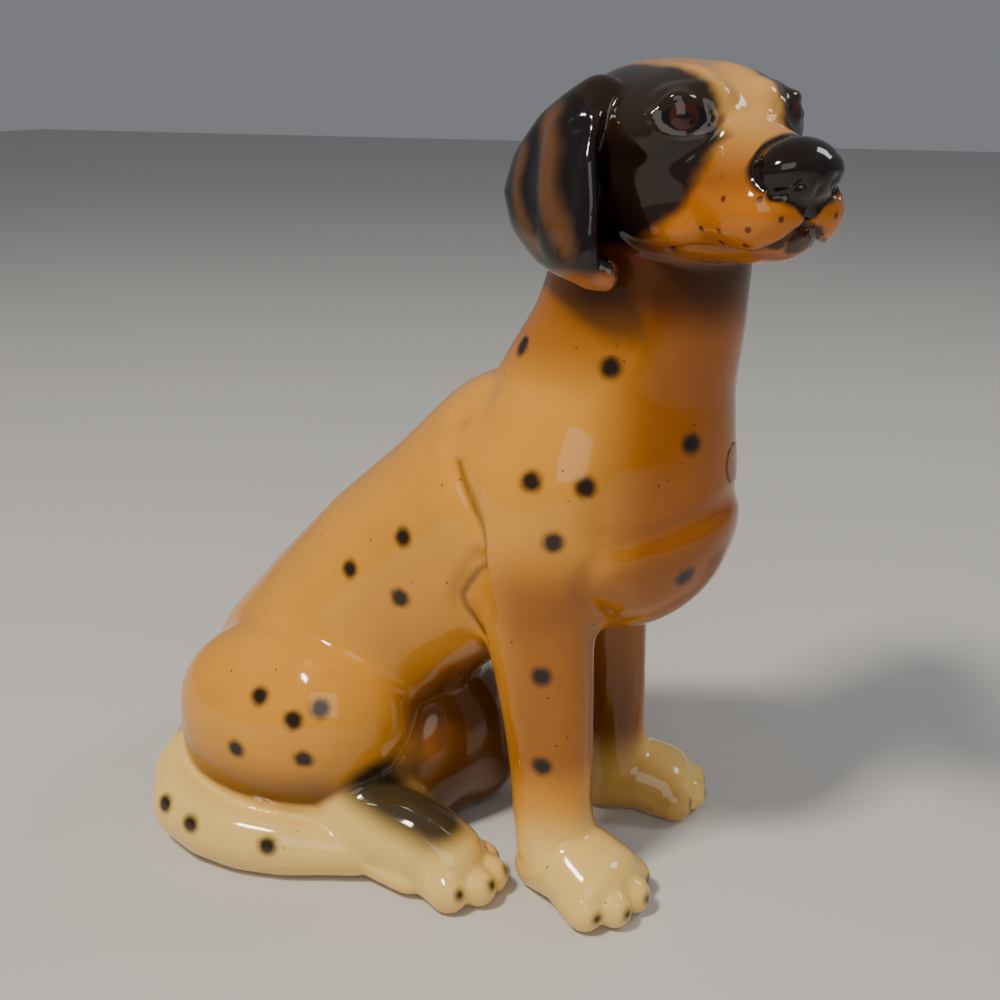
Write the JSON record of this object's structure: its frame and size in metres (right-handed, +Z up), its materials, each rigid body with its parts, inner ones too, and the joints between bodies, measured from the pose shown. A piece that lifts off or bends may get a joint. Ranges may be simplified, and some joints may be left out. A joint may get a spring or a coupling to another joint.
{
  "type": "dog figurine",
  "caption": "Hollow glazed ceramic hound sitting upright on its haunches, head turned to its right, drop ears, black eye patches, spots and a tail curled round one hip.",
  "frame": {"origin": "middle of the footprint's bounding rectangle, on the plane the figurine stands on", "axes": "+Z up, -Y the way the body faces, +X towards the dog's own left side"},
  "size_m": [0.1963, 0.3215, 0.3696],
  "materials": {
    "honey_glaze": "gloss",
    "cream_glaze": "gloss",
    "black_glaze": "gloss",
    "label_paper": "satin"
  },
  "bodies": {
    "root": {"torso": "honey_glaze", "head": "honey_glaze", "ear_right": "black_glaze", "ear_left": "black_glaze", "foreleg_right": "honey_glaze", "foreleg_left": "honey_glaze", "hind_leg_right": "honey_glaze", "hind_leg_left": "honey_glaze", "tail": "cream_glaze", "chest_label": "label_paper"}
  },
  "joints": []
}
